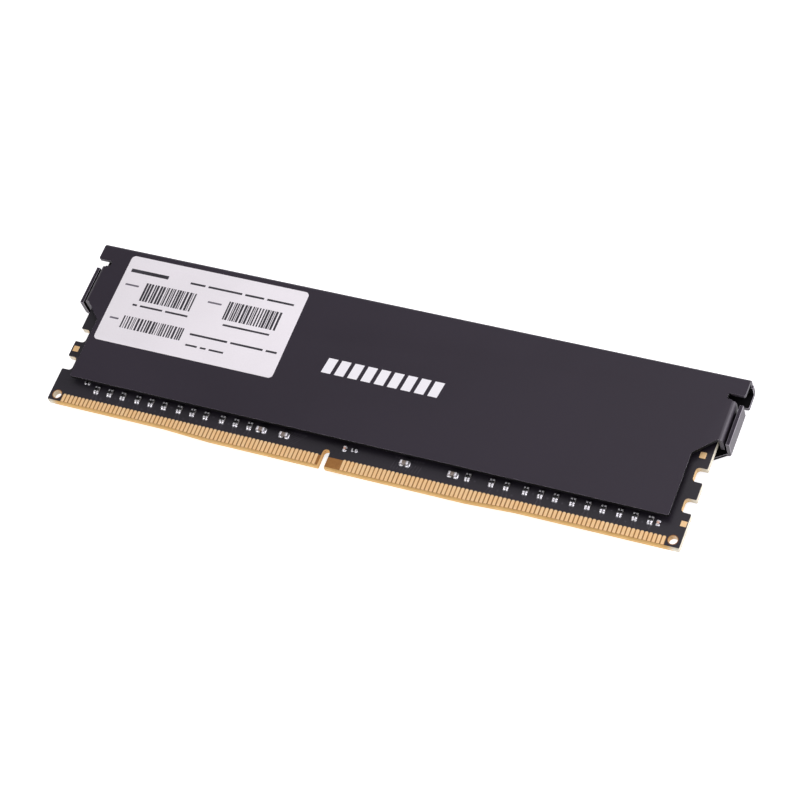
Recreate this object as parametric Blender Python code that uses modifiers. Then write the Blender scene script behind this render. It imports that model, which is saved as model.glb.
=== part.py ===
"""Desktop memory module in a two-piece sheet-metal heat spreader.

The module lies flat on its lower spreader. +X runs along the module, +Y from the contact
edge to the top edge, +Z from the lower spreader to the upper one. The origin is the centre
of the bounding box's underside. Lengths are written in millimetres and scaled by MM.
"""

from math import cos, pi, radians, sin, tan

import bmesh
import bpy
from mathutils import Matrix, Vector

MM = 0.001

# Circuit board: the JEDEC 288-contact outline
BOARD_LENGTH = 133.35
BOARD_HEIGHT = 31.25
BOARD_THICKNESS = 1.4
BOARD_BEVEL = 0.25
CORNER_RADIUS = 0.5
EDGE_STEP = 0.5  # the contact edge's outer stretches lie this much above its middle
EDGE_RAMPS = ((26.3, 36.5), (90.9, 101.1))  # where the edge steps down and up again, from the left end
KEY_X = 61.1
KEY_WIDTH = 1.5
KEY_DEPTH = 3.9
KEY_STEPS = 12
SIDE_NOTCHES = ((8.0, 11.0), (14.6, 17.6))  # heights above the contact edge
SIDE_NOTCH_DEPTH = 2.1
SIDE_NOTCH_RADIUS = 0.75
NOTCH_LIP_RADIUS = 0.25
HOLE_INSET = 1.65
HOLE_HEIGHT = 2.15
HOLE_DIAMETER = 1.75
HOLE_SIDES = 36

# Gaps between pieces that touch
BOND = 0.03  # solder or glue line
FILM_GAP = 0.01  # under a plated or stuck film

# Contacts
CONTACT_PITCH = 0.85
CONTACT_WIDTH = 0.6
CONTACT_TOP = 2.6
CONTACT_FOOT = 0.45  # from the edge up to the contacts
CONTACT_THICKNESS = 0.04
CONTACT_TIE = 0.3  # height of the plating strip that joins the contacts of a comb
FIRST_CONTACT = 3.35
CONTACT_RUNS = {"left": (0, 67), "right": (73, 77)}  # first place on the pitch, and how many

# Heat spreader
SHEET = 0.75
BEND_RADIUS = 0.95  # outside of a bend
BEND_STEPS = 8
SPREADER_TOP = 37.1
SPREADER_FOOT = 5.9
SPREADER_FOOT_HALF = 63.2
CHAMFER_LOW = 19.45
SLOT_HEIGHTS = (31.95, 33.2)
SLOT_RADIUS = 0.4
TAB_RADIUS = 0.35
UPPER_FACE = 1.85  # from the board's upper face to the outside of the upper spreader
LOWER_FACE = 2.1  # from the board's lower face to the outside of the lower spreader
TOP_SEAM = -0.45  # height of the seam between the two top flanges, from the board's upper face
SEAM_GAP = 0.1
UPPER_SHELL = {"tab": 69.2, "slot": 66.0, "flange": 67.95, "flange_depth": 3.7}
UPPER_SHELL["flange_heights"] = (23.2, 31.75)
LOWER_SHELL = {"tab": 69.4, "slot": 67.6, "flange": 69.25, "flange_depth": 4.4}
LOWER_SHELL["flange_heights"] = (22.95, 31.65)

# Parts on the board's upper face
ARRAY_SIZE = (1.0, 1.3, 0.35)
ARRAY_HEIGHT = 5.0
ARRAY_NOTCH = (0.24, 0.26)
ARRAY_GROUPS = (12.6, 21.95, 31.3, 40.9, 104.85, 114.25, 123.5)  # middle array of each group of three
ARRAY_PITCH = 3.0
LONE_ARRAYS = (90.1, 95.0, 98.0)
CAPACITOR_SIZE = (1.7, 0.8, 0.75)
CAPACITOR_HEIGHT = 4.7
UPPER_CAPACITORS = (46.45, 51.45, 77.1, 87.1)
RESISTOR_SIZE = (1.0, 0.5, 0.35)
RESISTORS = ((6.9, 6.0, 0), (64.4, 4.9, 90), (66.4, 5.0, 0), (128.0, 4.75, 90))  # x, height, turn
END_CAP = 0.25  # share of a chip part's length that each metal end covers
END_CAP_PROUD = 0.03

# Parts on the board's lower face
DRAM_SIZE = (9.0, 11.0, 0.75)
DRAM_STANDOFF = 0.3  # solder balls
DRAM_HEIGHT = 19.0
DRAM_FIRST = 16.2  # nearest chip to the middle
DRAM_PITCH = 13.4
DRAM_BEVEL = 0.12
EEPROM_SIZE = (3.0, 2.0, 0.75)
EEPROM_HEIGHT = 14.0
DECOUPLING_SIZE = (1.0, 0.5, 0.5)
DECOUPLING_HEIGHT = 4.6

# Between board and spreader, and on it
UPPER_PAD_SIZE = (118.0, 20.0)
UPPER_PAD_HEIGHT = 19.0
LOWER_PAD_SIZE = (116.0, 12.0)
LABEL_SIZE = (40.3, 20.35, 0.09)
LABEL_CENTRE = (24.65, 25.3)
LABEL_RADIUS = 0.9

MIDDLE = BOARD_LENGTH / 2
Y_SHIFT = SPREADER_TOP / 2
BOARD_LOW = LOWER_FACE
BOARD_TOP = LOWER_FACE + BOARD_THICKNESS
TOTAL_THICKNESS = BOARD_TOP + UPPER_FACE


def clear_scene():
    for obj in list(bpy.data.objects):
        bpy.data.objects.remove(obj, do_unlink=True)


def new_collection(name):
    collection = bpy.data.collections.new(name)
    bpy.context.scene.collection.children.link(collection)
    return collection


def material(name, colour, roughness, metallic=0.0):
    made = bpy.data.materials.new(name)
    made.use_nodes = True
    shader = made.node_tree.nodes["Principled BSDF"]
    shader.inputs["Base Color"].default_value = (*colour, 1.0)
    shader.inputs["Roughness"].default_value = roughness
    shader.inputs["Metallic"].default_value = metallic
    return made


def place(x, height, z):
    """A point in metres from a distance along the board, a height over the contact edge and z."""
    return Vector((x - MIDDLE, height - Y_SHIFT, z)) * MM


def add_object(name, data, finish, location=(0.0, 0.0, 0.0)):
    obj = bpy.data.objects.new(name, data)
    if not data.materials:
        data.materials.append(finish)
    obj.location = location
    MODULE.objects.link(obj)
    return obj


def arc(centre, radius, start, end, steps):
    """Points along an arc, ends included, with angles in degrees."""
    turns = [radians(start + (end - start) * i / steps) for i in range(steps + 1)]
    return [(centre[0] + radius * cos(t), centre[1] + radius * sin(t)) for t in turns]


def rounded(points, radii, steps=8):
    """An outline with each corner replaced by an arc of its own radius, where that isn't 0."""
    outline = []
    for i, (corner, radius) in enumerate(zip(points, radii)):
        if radius == 0:
            outline.append(corner)
            continue
        here = Vector(corner)
        before = (Vector(points[i - 1]) - here).normalized()
        after = (Vector(points[(i + 1) % len(points)]) - here).normalized()
        half = before.angle(after) / 2
        setback = radius / tan(half)
        centre = here + (before + after).normalized() * (radius / sin(half))
        first = here + before * setback - centre
        turn = first.angle_signed(here + after * setback - centre)
        for step in range(steps + 1):
            spoke = Matrix.Rotation(-turn * step / steps, 2) @ first
            outline.append(tuple(centre + spoke))
    return outline


def mirrored(half):
    """A whole outline from its right half, listed from the bottom middle to the top middle."""
    return half + [(-x, y) for x, y in reversed(half)]


def slab_curve(name, outlines, thickness):
    """A filled 2D curve of one outline and its holes, extruded to a thickness about its own plane."""
    curve = bpy.data.curves.new(name, "CURVE")
    curve.dimensions = "2D"
    curve.fill_mode = "BOTH"
    curve.extrude = thickness / 2 * MM
    for outline in outlines:
        spline = curve.splines.new("POLY")
        spline.points.add(len(outline) - 1)
        for point, (x, y) in zip(spline.points, outline):
            point.co = (x * MM, y * MM, 0.0, 1.0)
        spline.use_cyclic_u = True
    return curve


def slab(name, outlines, low, high, finish):
    """A flat piece in the module's own plane, from one z to another."""
    curve = slab_curve(name, outlines, high - low)
    return add_object(name, curve, finish, (0.0, 0.0, (low + high) / 2 * MM))


def mesh_from_curve(obj):
    """The curve object remade as a mesh object with its caps welded to its sides."""
    bpy.context.view_layer.update()
    evaluated = obj.evaluated_get(bpy.context.evaluated_depsgraph_get())
    mesh = bpy.data.meshes.new_from_object(evaluated)
    made = bmesh.new()
    made.from_mesh(mesh)
    bmesh.ops.remove_doubles(made, verts=made.verts, dist=1e-6)
    bmesh.ops.dissolve_limit(
        made, angle_limit=radians(0.5), verts=made.verts, edges=made.edges, delimit={"NORMAL"}
    )
    bmesh.ops.recalc_face_normals(made, faces=made.faces)
    made.to_mesh(mesh)
    made.free()
    name, matrix = obj.name, obj.matrix_world.copy()
    bpy.data.objects.remove(obj, do_unlink=True)
    mesh.name = name
    remade = bpy.data.objects.new(name, mesh)
    remade.matrix_world = matrix
    MODULE.objects.link(remade)
    return remade


def edge_height(x):
    """Height of the contact edge above its lowest stretch, at a distance along the board."""
    (down_start, down_end), (up_start, up_end) = EDGE_RAMPS
    down = min(max((down_end - x) / (down_end - down_start), 0.0), 1.0)
    up = min(max((x - up_start) / (up_end - up_start), 0.0), 1.0)
    return EDGE_STEP * max(down, up)


def board_outline():
    """The board's outline in the module's own plane, counter-clockwise from the lower left corner."""
    right = BOARD_LENGTH
    points, radii = [(0.0, EDGE_STEP)], [CORNER_RADIUS]

    def add(x, y, radius=0.0):
        points.append((x, y))
        radii.append(radius)

    for x in EDGE_RAMPS[0]:
        add(x, edge_height(x))
    add(KEY_X - KEY_WIDTH / 2, 0.0)
    for x, y in arc((KEY_X, KEY_DEPTH - KEY_WIDTH / 2), KEY_WIDTH / 2, 180, 0, KEY_STEPS):
        add(x, y)
    add(KEY_X + KEY_WIDTH / 2, 0.0)
    for x in EDGE_RAMPS[1]:
        add(x, edge_height(x))
    add(right, EDGE_STEP, CORNER_RADIUS)
    for low, high in SIDE_NOTCHES:
        add(right, low, NOTCH_LIP_RADIUS)
        add(right - SIDE_NOTCH_DEPTH, low, SIDE_NOTCH_RADIUS)
        add(right - SIDE_NOTCH_DEPTH, high, SIDE_NOTCH_RADIUS)
        add(right, high, NOTCH_LIP_RADIUS)
    add(right, BOARD_HEIGHT, CORNER_RADIUS)
    add(0.0, BOARD_HEIGHT, CORNER_RADIUS)
    for low, high in reversed(SIDE_NOTCHES):
        add(0.0, high, NOTCH_LIP_RADIUS)
        add(SIDE_NOTCH_DEPTH, high, SIDE_NOTCH_RADIUS)
        add(SIDE_NOTCH_DEPTH, low, SIDE_NOTCH_RADIUS)
        add(0.0, low, NOTCH_LIP_RADIUS)
    return [(x - MIDDLE, y - Y_SHIFT) for x, y in rounded(points, radii)]


def make_circuit_board():
    holes = []
    for x in (HOLE_INSET, BOARD_LENGTH - HOLE_INSET):
        centre = (x - MIDDLE, HOLE_HEIGHT - Y_SHIFT)
        holes.append(arc(centre, HOLE_DIAMETER / 2, 360, 360 / HOLE_SIDES, HOLE_SIDES - 1))
    outlines = [board_outline(), *holes]
    board = mesh_from_curve(slab("circuit_board", outlines, BOARD_LOW, BOARD_TOP, SOLDER_MASK))
    bevel_contact_edge(board.data)
    return board


def bevel_contact_edge(mesh):
    """Slopes the board's two faces down to its sides along the contact edge."""
    shape = bmesh.new()
    shape.from_mesh(mesh)
    half = BOARD_THICKNESS / 2
    for level in (BOARD_BEVEL - half, half - BOARD_BEVEL):
        bmesh.ops.bisect_plane(
            shape,
            geom=[*shape.verts, *shape.edges, *shape.faces],
            plane_co=(0.0, 0.0, level * MM),
            plane_no=(0.0, 0.0, 1.0),
        )
    for vert in shape.verts:
        if abs(vert.co.z) > (half - 0.001) * MM:
            face_start = edge_height(vert.co.x / MM + MIDDLE) + BOARD_BEVEL
            vert.co.y = max(vert.co.y, (face_start - Y_SHIFT) * MM)
    shape.normal_update()
    sloped = [face for face in shape.faces if 0.01 < abs(face.normal.z) < 0.99]
    bmesh.ops.triangulate(shape, faces=sloped)
    shape.to_mesh(mesh)
    shape.free()


def comb_outline(first, count):
    """Contacts side by side, joined at the foot by the strip that carries the plating current."""
    centres = [FIRST_CONTACT + CONTACT_PITCH * (first + i) for i in range(count)]
    left, right = centres[0] - CONTACT_WIDTH / 2, centres[-1] + CONTACT_WIDTH / 2
    breaks = [x for ramp in EDGE_RAMPS for x in ramp if left < x < right]
    outline = [(x, edge_height(x) + CONTACT_FOOT) for x in [left, *breaks, right]]
    for centre in reversed(centres):
        for x, up in ((centre + CONTACT_WIDTH / 2, True), (centre - CONTACT_WIDTH / 2, False)):
            root = (x, edge_height(x) + CONTACT_FOOT + CONTACT_TIE)
            tip = (x, CONTACT_TOP)
            outline += [root, tip] if up else [tip, root]
    return [(x - MIDDLE, y - Y_SHIFT) for x, y in outline]


def make_contacts():
    starts = {"upper": BOARD_TOP + FILM_GAP, "lower": BOARD_LOW - FILM_GAP - CONTACT_THICKNESS}
    for side, low in starts.items():
        for end, (first, count) in CONTACT_RUNS.items():
            outline = comb_outline(first, count)
            slab(f"contacts_{side}_{end}", [outline], low, low + CONTACT_THICKNESS, GOLD)


def shell_outline(shell):
    """The flat stretch of a spreader shell before its flanges, and where its three bends start."""
    tab, slot, flat = shell["tab"], shell["slot"], shell["flange"] - BEND_RADIUS
    low, high = shell["flange_heights"]
    top = SPREADER_TOP - BEND_RADIUS
    corners = [
        (SPREADER_FOOT_HALF, SPREADER_FOOT, TAB_RADIUS),
        (SPREADER_FOOT_HALF, CHAMFER_LOW, TAB_RADIUS),
        (flat, low, 0.0),
        (flat, high, 0.0),
        (flat, SLOT_HEIGHTS[0], 0.0),
        (slot, SLOT_HEIGHTS[0], SLOT_RADIUS),
        (slot, SLOT_HEIGHTS[1], SLOT_RADIUS),
        (tab, SLOT_HEIGHTS[1], TAB_RADIUS),
        (tab, top, 0.0),
    ]
    whole = mirrored([(x, y) for x, y, _ in corners])
    radii = [radius for *_, radius in corners]
    return rounded(whole, radii + radii[::-1])


def bend_edge(shape, ends, centre, axis, straight):
    """Folds a flange down at one edge of the sheet: a quarter turn about an axis, then a straight run."""
    verts = [min(shape.verts, key=lambda vert: (vert.co - end).length) for end in ends]
    edge = shape.edges.get(verts)
    turned = bmesh.ops.spin(
        shape,
        geom=[*verts, edge],
        cent=centre,
        axis=axis,
        angle=pi / 2,
        steps=BEND_STEPS,
        use_duplicate=False,
    )
    last = [item for item in turned["geom_last"] if isinstance(item, bmesh.types.BMEdge)]
    grown = bmesh.ops.extrude_edge_only(shape, edges=last)
    moved = [item for item in grown["geom"] if isinstance(item, bmesh.types.BMVert)]
    bmesh.ops.translate(shape, verts=moved, vec=(0.0, 0.0, -straight))


def make_shell(name, shell, seam_drop, finish):
    """One spreader shell, outside up: a cut sheet with a top flange and two end flanges bent down."""
    shape = bmesh.new()
    flat = [(x * MM, (y - Y_SHIFT) * MM, 0.0) for x, y in shell_outline(shell)]
    shape.faces.new([shape.verts.new(point) for point in flat])
    shape.normal_update()
    radius = BEND_RADIUS * MM
    top = (SPREADER_TOP - BEND_RADIUS - Y_SHIFT) * MM
    tab = shell["tab"] * MM
    bend_edge(
        shape,
        (Vector((tab, top, 0.0)), Vector((-tab, top, 0.0))),
        (0.0, top, -radius),
        (-1.0, 0.0, 0.0),
        (seam_drop - BEND_RADIUS) * MM,
    )
    inner = (shell["flange"] - BEND_RADIUS) * MM
    low, high = [(height - Y_SHIFT) * MM for height in shell["flange_heights"]]
    for side in (1.0, -1.0):
        bend_edge(
            shape,
            (Vector((side * inner, low, 0.0)), Vector((side * inner, high, 0.0))),
            (side * inner, 0.0, -radius),
            (0.0, side, 0.0),
            (shell["flange_depth"] - BEND_RADIUS) * MM,
        )
    bmesh.ops.recalc_face_normals(shape, faces=shape.faces)
    plate = max(shape.faces, key=lambda face: face.calc_area())
    if plate.normal.z < 0:
        bmesh.ops.reverse_faces(shape, faces=shape.faces)
    mesh = bpy.data.meshes.new(name)
    shape.to_mesh(mesh)
    shape.free()
    obj = add_object(name, mesh, finish)
    thickness = obj.modifiers.new("sheet", "SOLIDIFY")
    thickness.thickness = SHEET * MM
    thickness.offset = -1.0
    thickness.use_even_offset = True
    mesh.shade_smooth()
    mesh.set_sharp_from_angle(angle=radians(35))
    return obj


def make_heat_spreaders():
    board_to_seam = BOARD_TOP + TOP_SEAM
    upper = make_shell(
        "heat_spreader_upper", UPPER_SHELL, TOTAL_THICKNESS - board_to_seam - SEAM_GAP / 2, CHARCOAL_PAINT
    )
    upper.location.z = TOTAL_THICKNESS * MM
    lower = make_shell("heat_spreader_lower", LOWER_SHELL, board_to_seam - SEAM_GAP / 2, CHARCOAL_PAINT)
    lower.rotation_euler.y = pi


def box_mesh(name, size, finish, bevel=0.0):
    """A block standing on its own origin, with a small bevel where one is given."""
    mesh = bpy.data.meshes.new(name)
    shape = bmesh.new()
    bmesh.ops.create_cube(shape, size=1.0)
    bmesh.ops.scale(shape, verts=shape.verts, vec=[side * MM for side in size])
    bmesh.ops.translate(shape, verts=shape.verts, vec=(0.0, 0.0, size[2] * MM / 2))
    if bevel:
        bmesh.ops.bevel(
            shape, geom=list(shape.edges), offset=bevel * MM, segments=1, affect="EDGES", clamp_overlap=True
        )
    shape.to_mesh(mesh)
    shape.free()
    mesh.materials.append(finish)
    return mesh


def chip_part_mesh(name, size, finish):
    """A two-terminal ceramic part: a block whose two ends are wrapped by slightly larger metal caps."""
    length, width, height = size
    cap_start = (0.5 - END_CAP) * length * MM
    shape = bmesh.new()
    bmesh.ops.create_cube(shape, size=1.0)
    body = (length, width - 2 * END_CAP_PROUD, height - 2 * END_CAP_PROUD)
    bmesh.ops.scale(shape, verts=shape.verts, vec=[side * MM for side in body])
    for side in (-1, 1):
        bmesh.ops.bisect_plane(
            shape,
            geom=[*shape.verts, *shape.edges, *shape.faces],
            plane_co=(side * cap_start, 0.0, 0.0),
            plane_no=(1.0, 0.0, 0.0),
        )
    for side in (-1, 1):
        end_faces = [face for face in shape.faces if side * face.calc_center_median().x > cap_start]
        grown = bmesh.ops.extrude_face_region(shape, geom=end_faces)
        verts = [item for item in grown["geom"] if isinstance(item, bmesh.types.BMVert)]
        bmesh.ops.scale(shape, verts=verts, vec=(1.0, width / body[1], height / body[2]))
        bmesh.ops.delete(shape, geom=end_faces, context="FACES")
    bmesh.ops.translate(shape, verts=shape.verts, vec=(0.0, 0.0, height * MM / 2))
    bmesh.ops.recalc_face_normals(shape, faces=shape.faces)
    mesh = bpy.data.meshes.new(name)
    shape.to_mesh(mesh)
    shape.free()
    mesh.materials.append(finish)
    return mesh


def put_on_upper_face(name, mesh, x, height, turn=0.0):
    obj = add_object(name, mesh, CERAMIC, place(x, height, BOARD_TOP + BOND))
    obj.rotation_euler.z = radians(turn)
    return obj


def put_on_lower_face(name, mesh, x, height, standoff=BOND):
    obj = add_object(name, mesh, CERAMIC, place(x, height, BOARD_LOW - standoff))
    obj.rotation_euler.x = pi
    return obj


def array_outline():
    """A resistor array seen from above: a block notched between its two contacts on each long side."""
    half_width, half_length = ARRAY_SIZE[0] / 2, ARRAY_SIZE[1] / 2
    notch_half, notch_depth = ARRAY_NOTCH[0] / 2, ARRAY_NOTCH[1]
    quarter = [
        (half_width, half_length),
        (notch_half, half_length),
        (notch_half, half_length - notch_depth),
    ]
    upper = quarter + [(-x, y) for x, y in reversed(quarter)]
    return upper + [(-x, -y) for x, y in upper]


def make_resistor_arrays():
    in_groups = [x + step * ARRAY_PITCH for x in ARRAY_GROUPS for step in (-1, 0, 1)]
    shape = slab_curve("resistor_array", [array_outline()], ARRAY_SIZE[2])
    middle = BOARD_TOP + BOND + ARRAY_SIZE[2] / 2
    for number, x in enumerate(sorted([*in_groups, *LONE_ARRAYS]), 1):
        add_object(f"resistor_array_{number:02d}", shape, CERAMIC, place(x, ARRAY_HEIGHT, middle))


def make_chip_parts():
    capacitor = chip_part_mesh("capacitor", CAPACITOR_SIZE, CERAMIC)
    for number, x in enumerate(UPPER_CAPACITORS, 1):
        put_on_upper_face(f"capacitor_upper_{number}", capacitor, x, CAPACITOR_HEIGHT)
    resistor = chip_part_mesh("resistor", RESISTOR_SIZE, CERAMIC)
    for number, (x, height, turn) in enumerate(RESISTORS, 1):
        put_on_upper_face(f"resistor_upper_{number}", resistor, x, height, turn)


def dram_places():
    steps = [DRAM_FIRST + DRAM_PITCH * i for i in range(4)]
    return sorted(MIDDLE + side * step for side in (-1, 1) for step in steps)


def make_lower_face_parts():
    chip = box_mesh("dram", DRAM_SIZE, PACKAGE, DRAM_BEVEL)
    decoupling = chip_part_mesh("decoupling", DECOUPLING_SIZE, CERAMIC)
    for number, x in enumerate(dram_places(), 1):
        put_on_lower_face(f"dram_chip_{number}", chip, x, DRAM_HEIGHT, DRAM_STANDOFF)
        put_on_lower_face(f"capacitor_lower_{number}", decoupling, x, DECOUPLING_HEIGHT)
    eeprom = box_mesh("eeprom", EEPROM_SIZE, PACKAGE, DRAM_BEVEL)
    put_on_lower_face("spd_eeprom", eeprom, MIDDLE, EEPROM_HEIGHT)


def rectangle(centre, size, radius):
    x, y = centre[0] - MIDDLE, centre[1] - Y_SHIFT
    half_x, half_y = size[0] / 2, size[1] / 2
    signs = ((-1, -1), (1, -1), (1, 1), (-1, 1))
    return rounded([(x + a * half_x, y + b * half_y) for a, b in signs], [radius] * 4)


def make_pads():
    outline = rectangle((MIDDLE, UPPER_PAD_HEIGHT), UPPER_PAD_SIZE, 1.0)
    slab("thermal_pad_upper", [outline], BOARD_TOP + BOND, TOTAL_THICKNESS - SHEET - BOND, PAD_GREY)
    outline = rectangle((MIDDLE, DRAM_HEIGHT), LOWER_PAD_SIZE, 1.0)
    chip_face = BOARD_LOW - DRAM_STANDOFF - DRAM_SIZE[2]
    slab("thermal_pad_lower", [outline], SHEET + BOND, chip_face - BOND, PAD_GREY)


def make_label():
    low = TOTAL_THICKNESS + FILM_GAP
    slab("label", [rectangle(LABEL_CENTRE, LABEL_SIZE, LABEL_RADIUS)], low, low + LABEL_SIZE[2], LABEL_FILM)


clear_scene()
MODULE = new_collection("memory_module")
SOLDER_MASK = material("black_solder_mask", (0.012, 0.011, 0.014), 0.45)
GOLD = material("gold_plating", (0.85, 0.55, 0.25), 0.3, 1.0)
CHARCOAL_PAINT = material("charcoal_paint", (0.035, 0.032, 0.036), 0.5)
CERAMIC = material("tinned_ceramic", (0.35, 0.32, 0.28), 0.35)
PACKAGE = material("moulded_package", (0.015, 0.015, 0.016), 0.55)
PAD_GREY = material("thermal_pad", (0.35, 0.37, 0.40), 0.8)
LABEL_FILM = material("label_film", (0.80, 0.77, 0.82), 0.4)

make_circuit_board()
make_contacts()
make_lower_face_parts()
make_resistor_arrays()
make_chip_parts()
make_pads()
make_heat_spreaders()
make_label()
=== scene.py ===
"""Looks of a desktop memory module in a two-piece sheet-metal heat spreader.

The module lies flat on its lower spreader: +X runs along it, +Y from the contact edge to the
top edge, +Z from the lower spreader to the upper one. Sizes below are in millimetres.
"""

from math import pi, radians

import bmesh
import bpy
import numpy as np
from mathutils import Matrix, Vector


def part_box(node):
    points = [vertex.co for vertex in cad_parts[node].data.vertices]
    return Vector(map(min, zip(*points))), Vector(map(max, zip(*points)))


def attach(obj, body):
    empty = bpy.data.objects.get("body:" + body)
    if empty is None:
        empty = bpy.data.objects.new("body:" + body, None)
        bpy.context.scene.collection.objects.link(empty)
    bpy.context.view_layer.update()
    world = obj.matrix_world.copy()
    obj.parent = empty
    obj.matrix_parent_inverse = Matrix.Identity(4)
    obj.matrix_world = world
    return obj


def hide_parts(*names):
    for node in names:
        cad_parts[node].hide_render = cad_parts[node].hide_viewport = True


MM = 0.001

# Contacts
CONTACT_PITCH = 0.85
CONTACT_WIDTH = 0.6
CONTACT_CORNERS = (0.22, 0.22, 0.05, 0.05)  # top right, top left, bottom left, bottom right
CONTACT_PROFILE = ((0.0, 0.0), (0.0, 0.025), (0.012, 0.04))  # (inset, height)
CONTACT_FOOT = 0.3  # from the board's lowest edge to the middle contacts' lower ends
RISE_STARTS = (30.2, 24.2)  # how far left and right of the middle the contact edge starts to rise
RISE_LENGTH = 10.2
RISE_HEIGHT = 0.5

# Solder mask on the board
MASK_LINE = 2.42  # the mask's lower edge over the contacts, above the contact edge
MASK_SIDE = 2.95  # the mask reaches down to the contact edge within this much of each end
RING_WIDTH = 0.14  # bare ring round each small hole
HOLE_INSET = 1.65
HOLE_HEIGHT = 2.15
HOLE_RADIUS = 0.875

# Bare gold test squares: distance along the board, height, width, length
TEST_SQUARES = ((0.95, 12.9, 1.25, 1.25), (132.6, 5.75, 1.15, 1.15), (131.6, 20.25, 1.2, 1.3))
TEST_SQUARE_PROFILE = ((0.0, 0.0), (0.0, 0.03), (0.012, 0.04))

# Resistor arrays and chip parts
BOARD_GAP = 0.03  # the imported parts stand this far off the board
ARRAY_TERMINAL = 0.4
ARRAY_TERMINAL_PITCH = 0.56
ARRAY_GLAZE = 0.04
ARRAY_RIM = 0.03  # bare ceramic left round the glaze
ARRAY_FILLETS = {-1: 0.34, 1: 0.14}  # how far the solder reaches out over the board, by side
ARRAY_SHELL = 0.02  # thickness of the metal over the ceramic
ARRAY_CORNER = 0.06
ARRAY_ROUND = 0.03
ARRAY_LAP = 0.38  # how far each metal end laps over the top face
ARRAY_SWEEP = 0.78  # share of the height at which the solder leaves the side
ARRAY_SPREAD = (-0.5, -0.4, 0.0, 0.4, 0.5)  # sections of a metal end across its width
ARRAY_SHRINK = (0.82, 0.97, 1.0, 0.97, 0.82)  # and how large each is
CHIP_CAP = 0.27  # share of a chip part's length that each metal end covers
CHIP_ROUND = 0.07
CHIP_SHELL = 0.03  # thickness of the metal over the ceramic
CHIP_FILLET = 0.3  # reach of the solder at a part 0.8 wide
CHIP_FILLET_WIDTH = 0.8
CHIP_FILLET_SHARE = 0.62  # share of the height that the solder climbs

# Memory chips
PACKAGE_CORNER = 0.12
PACKAGE_ROUND = 0.08
PACKAGE_DRAFT = 0.05  # how far the sides lean in on top of their rounding
BALL_RADIUS = 0.19
BALL_PITCH = 0.8
BALL_COLUMNS = (-4, -3, -2, 2, 3, 4)
BALL_ROWS = 13
BALL_LATITUDES = (15, 50, 90, 130, 165)
BALL_SIDES = 8

# Thermal pads
PAD_CORNER = 1.0
PAD_BULGE = 0.12

# Copper traces under the mask
TRACE_WIDTH = 0.13
TRACE_HEIGHT = 0.02
TRACE_BENDS = (4.05, 3.7, 3.1, MASK_LINE)  # heights of the points of a trace from array to contact
BUNDLES = ((-18.2, 9, 2.4, 2.9, 2.6), (8.0, 10, 0.35, 3.2, 1.6))  # first, count, lean, bottom, climb
BUNDLE_PITCH = 0.62
VIA_RADIUS = 0.26
VIA_RISE = 0.02
VIA_ASIDE = 1.5  # from an array's middle to the via beside it
VIA_HEIGHTS = (3.1, 5.2)
BUNDLE_VIA_HEIGHT = 5.75

# Heat spreader
SHEET_EDGE_ROUND = 0.09
MERGE_DISTANCE = 1e-6  # in metres
FLAT_ANGLE = 1.0  # triangles that meet at less than this are one flat face
SHARP_ANGLE = 35
CUT_ANGLE = 40  # edges sharper than this are cut edges
INSIDE_REACH = 3.7  # the top flanges lie within this much of the top edge
PLATE_DEPTH = 1.1  # a plate and its bends lie within this much of the outside
FLANGE_START = 66.9  # the end flanges lie further than this from the middle

# Label
LABEL_THICKNESS = 0.075
LABEL_RADIUS = 0.9
LABEL_ROUND = 0.02
INK = 0.006

# Label print, from the board's lower left corner. Blocks of bars: left, right, bottom, top. Rows of
# dashes: left, right, height, thickness, and the share of the room that each dash takes.
BAR_MODULE = 0.16
BAR_BLOCKS = ((10.3, 22.4, 25.6, 29.9), (29.3, 41.3, 25.5, 29.8), (8.85, 23.0, 18.8, 21.7))
DASH_GAP = 0.7
DARK_ROWS = (
    (5.7, 14.3, 32.1, 0.8, (1,)),
    (19.4, 42.7, 31.98, 0.45, (4, 9, 5, 7)),
    (9.4, 22.0, 24.45, 0.42, (1, 5, 5)),
    (30.05, 40.4, 24.32, 0.42, (1,)),
    (24.2, 43.6, 20.75, 0.45, (7, 6, 2)),
    (24.3, 32.8, 18.22, 0.4, (4, 2, 5)),
)
PALE_ROWS = (
    (5.8, 8.9, 28.72, 0.4, (1,)),
    (24.8, 27.9, 28.67, 0.4, (1,)),
    (5.9, 7.9, 20.62, 0.4, (1,)),
)

# Printed motif on the upper spreader: equal slanted bars
MOTIF_CENTRE = (-0.08, 2.05)
MOTIF_BARS = 9
MOTIF_PITCH = 2.84
MOTIF_WIDTH = 2.0
MOTIF_HEIGHT = 3.4
MOTIF_SLANT = 0.5

# Camera
CAMERA_PLACE = (188.8, -209.2, 421.6)
CAMERA_AIM = (4.35, -0.89, 3.5)
CAMERA_ROLL = -23.7
CAMERA_LENS = 117.4

# Studio: a floor that glows a little, a pale room and three softboxes
FLOOR_GLOW = 0.7
FLOOR_HALF = 3.0
FLOOR_DROP = 0.0001  # in metres, so that the floor never meets the lower face
ROOM_LIGHT = 0.32
LIGHT_TINT = (1.0, 0.95, 1.04)
SOFTBOXES = (  # name, place in metres, width, height, power
    ("overhead", (0.42, 0.6, 1.15), 1.6, 1.5, 9.0),
    ("right", (1.15, 0.55, 0.42), 0.9, 0.8, 10.5),
    ("front", (-0.45, -1.1, 0.55), 1.0, 0.3, 5.5),
)


# ---------------------------------------------------------------- surfaces

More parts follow.
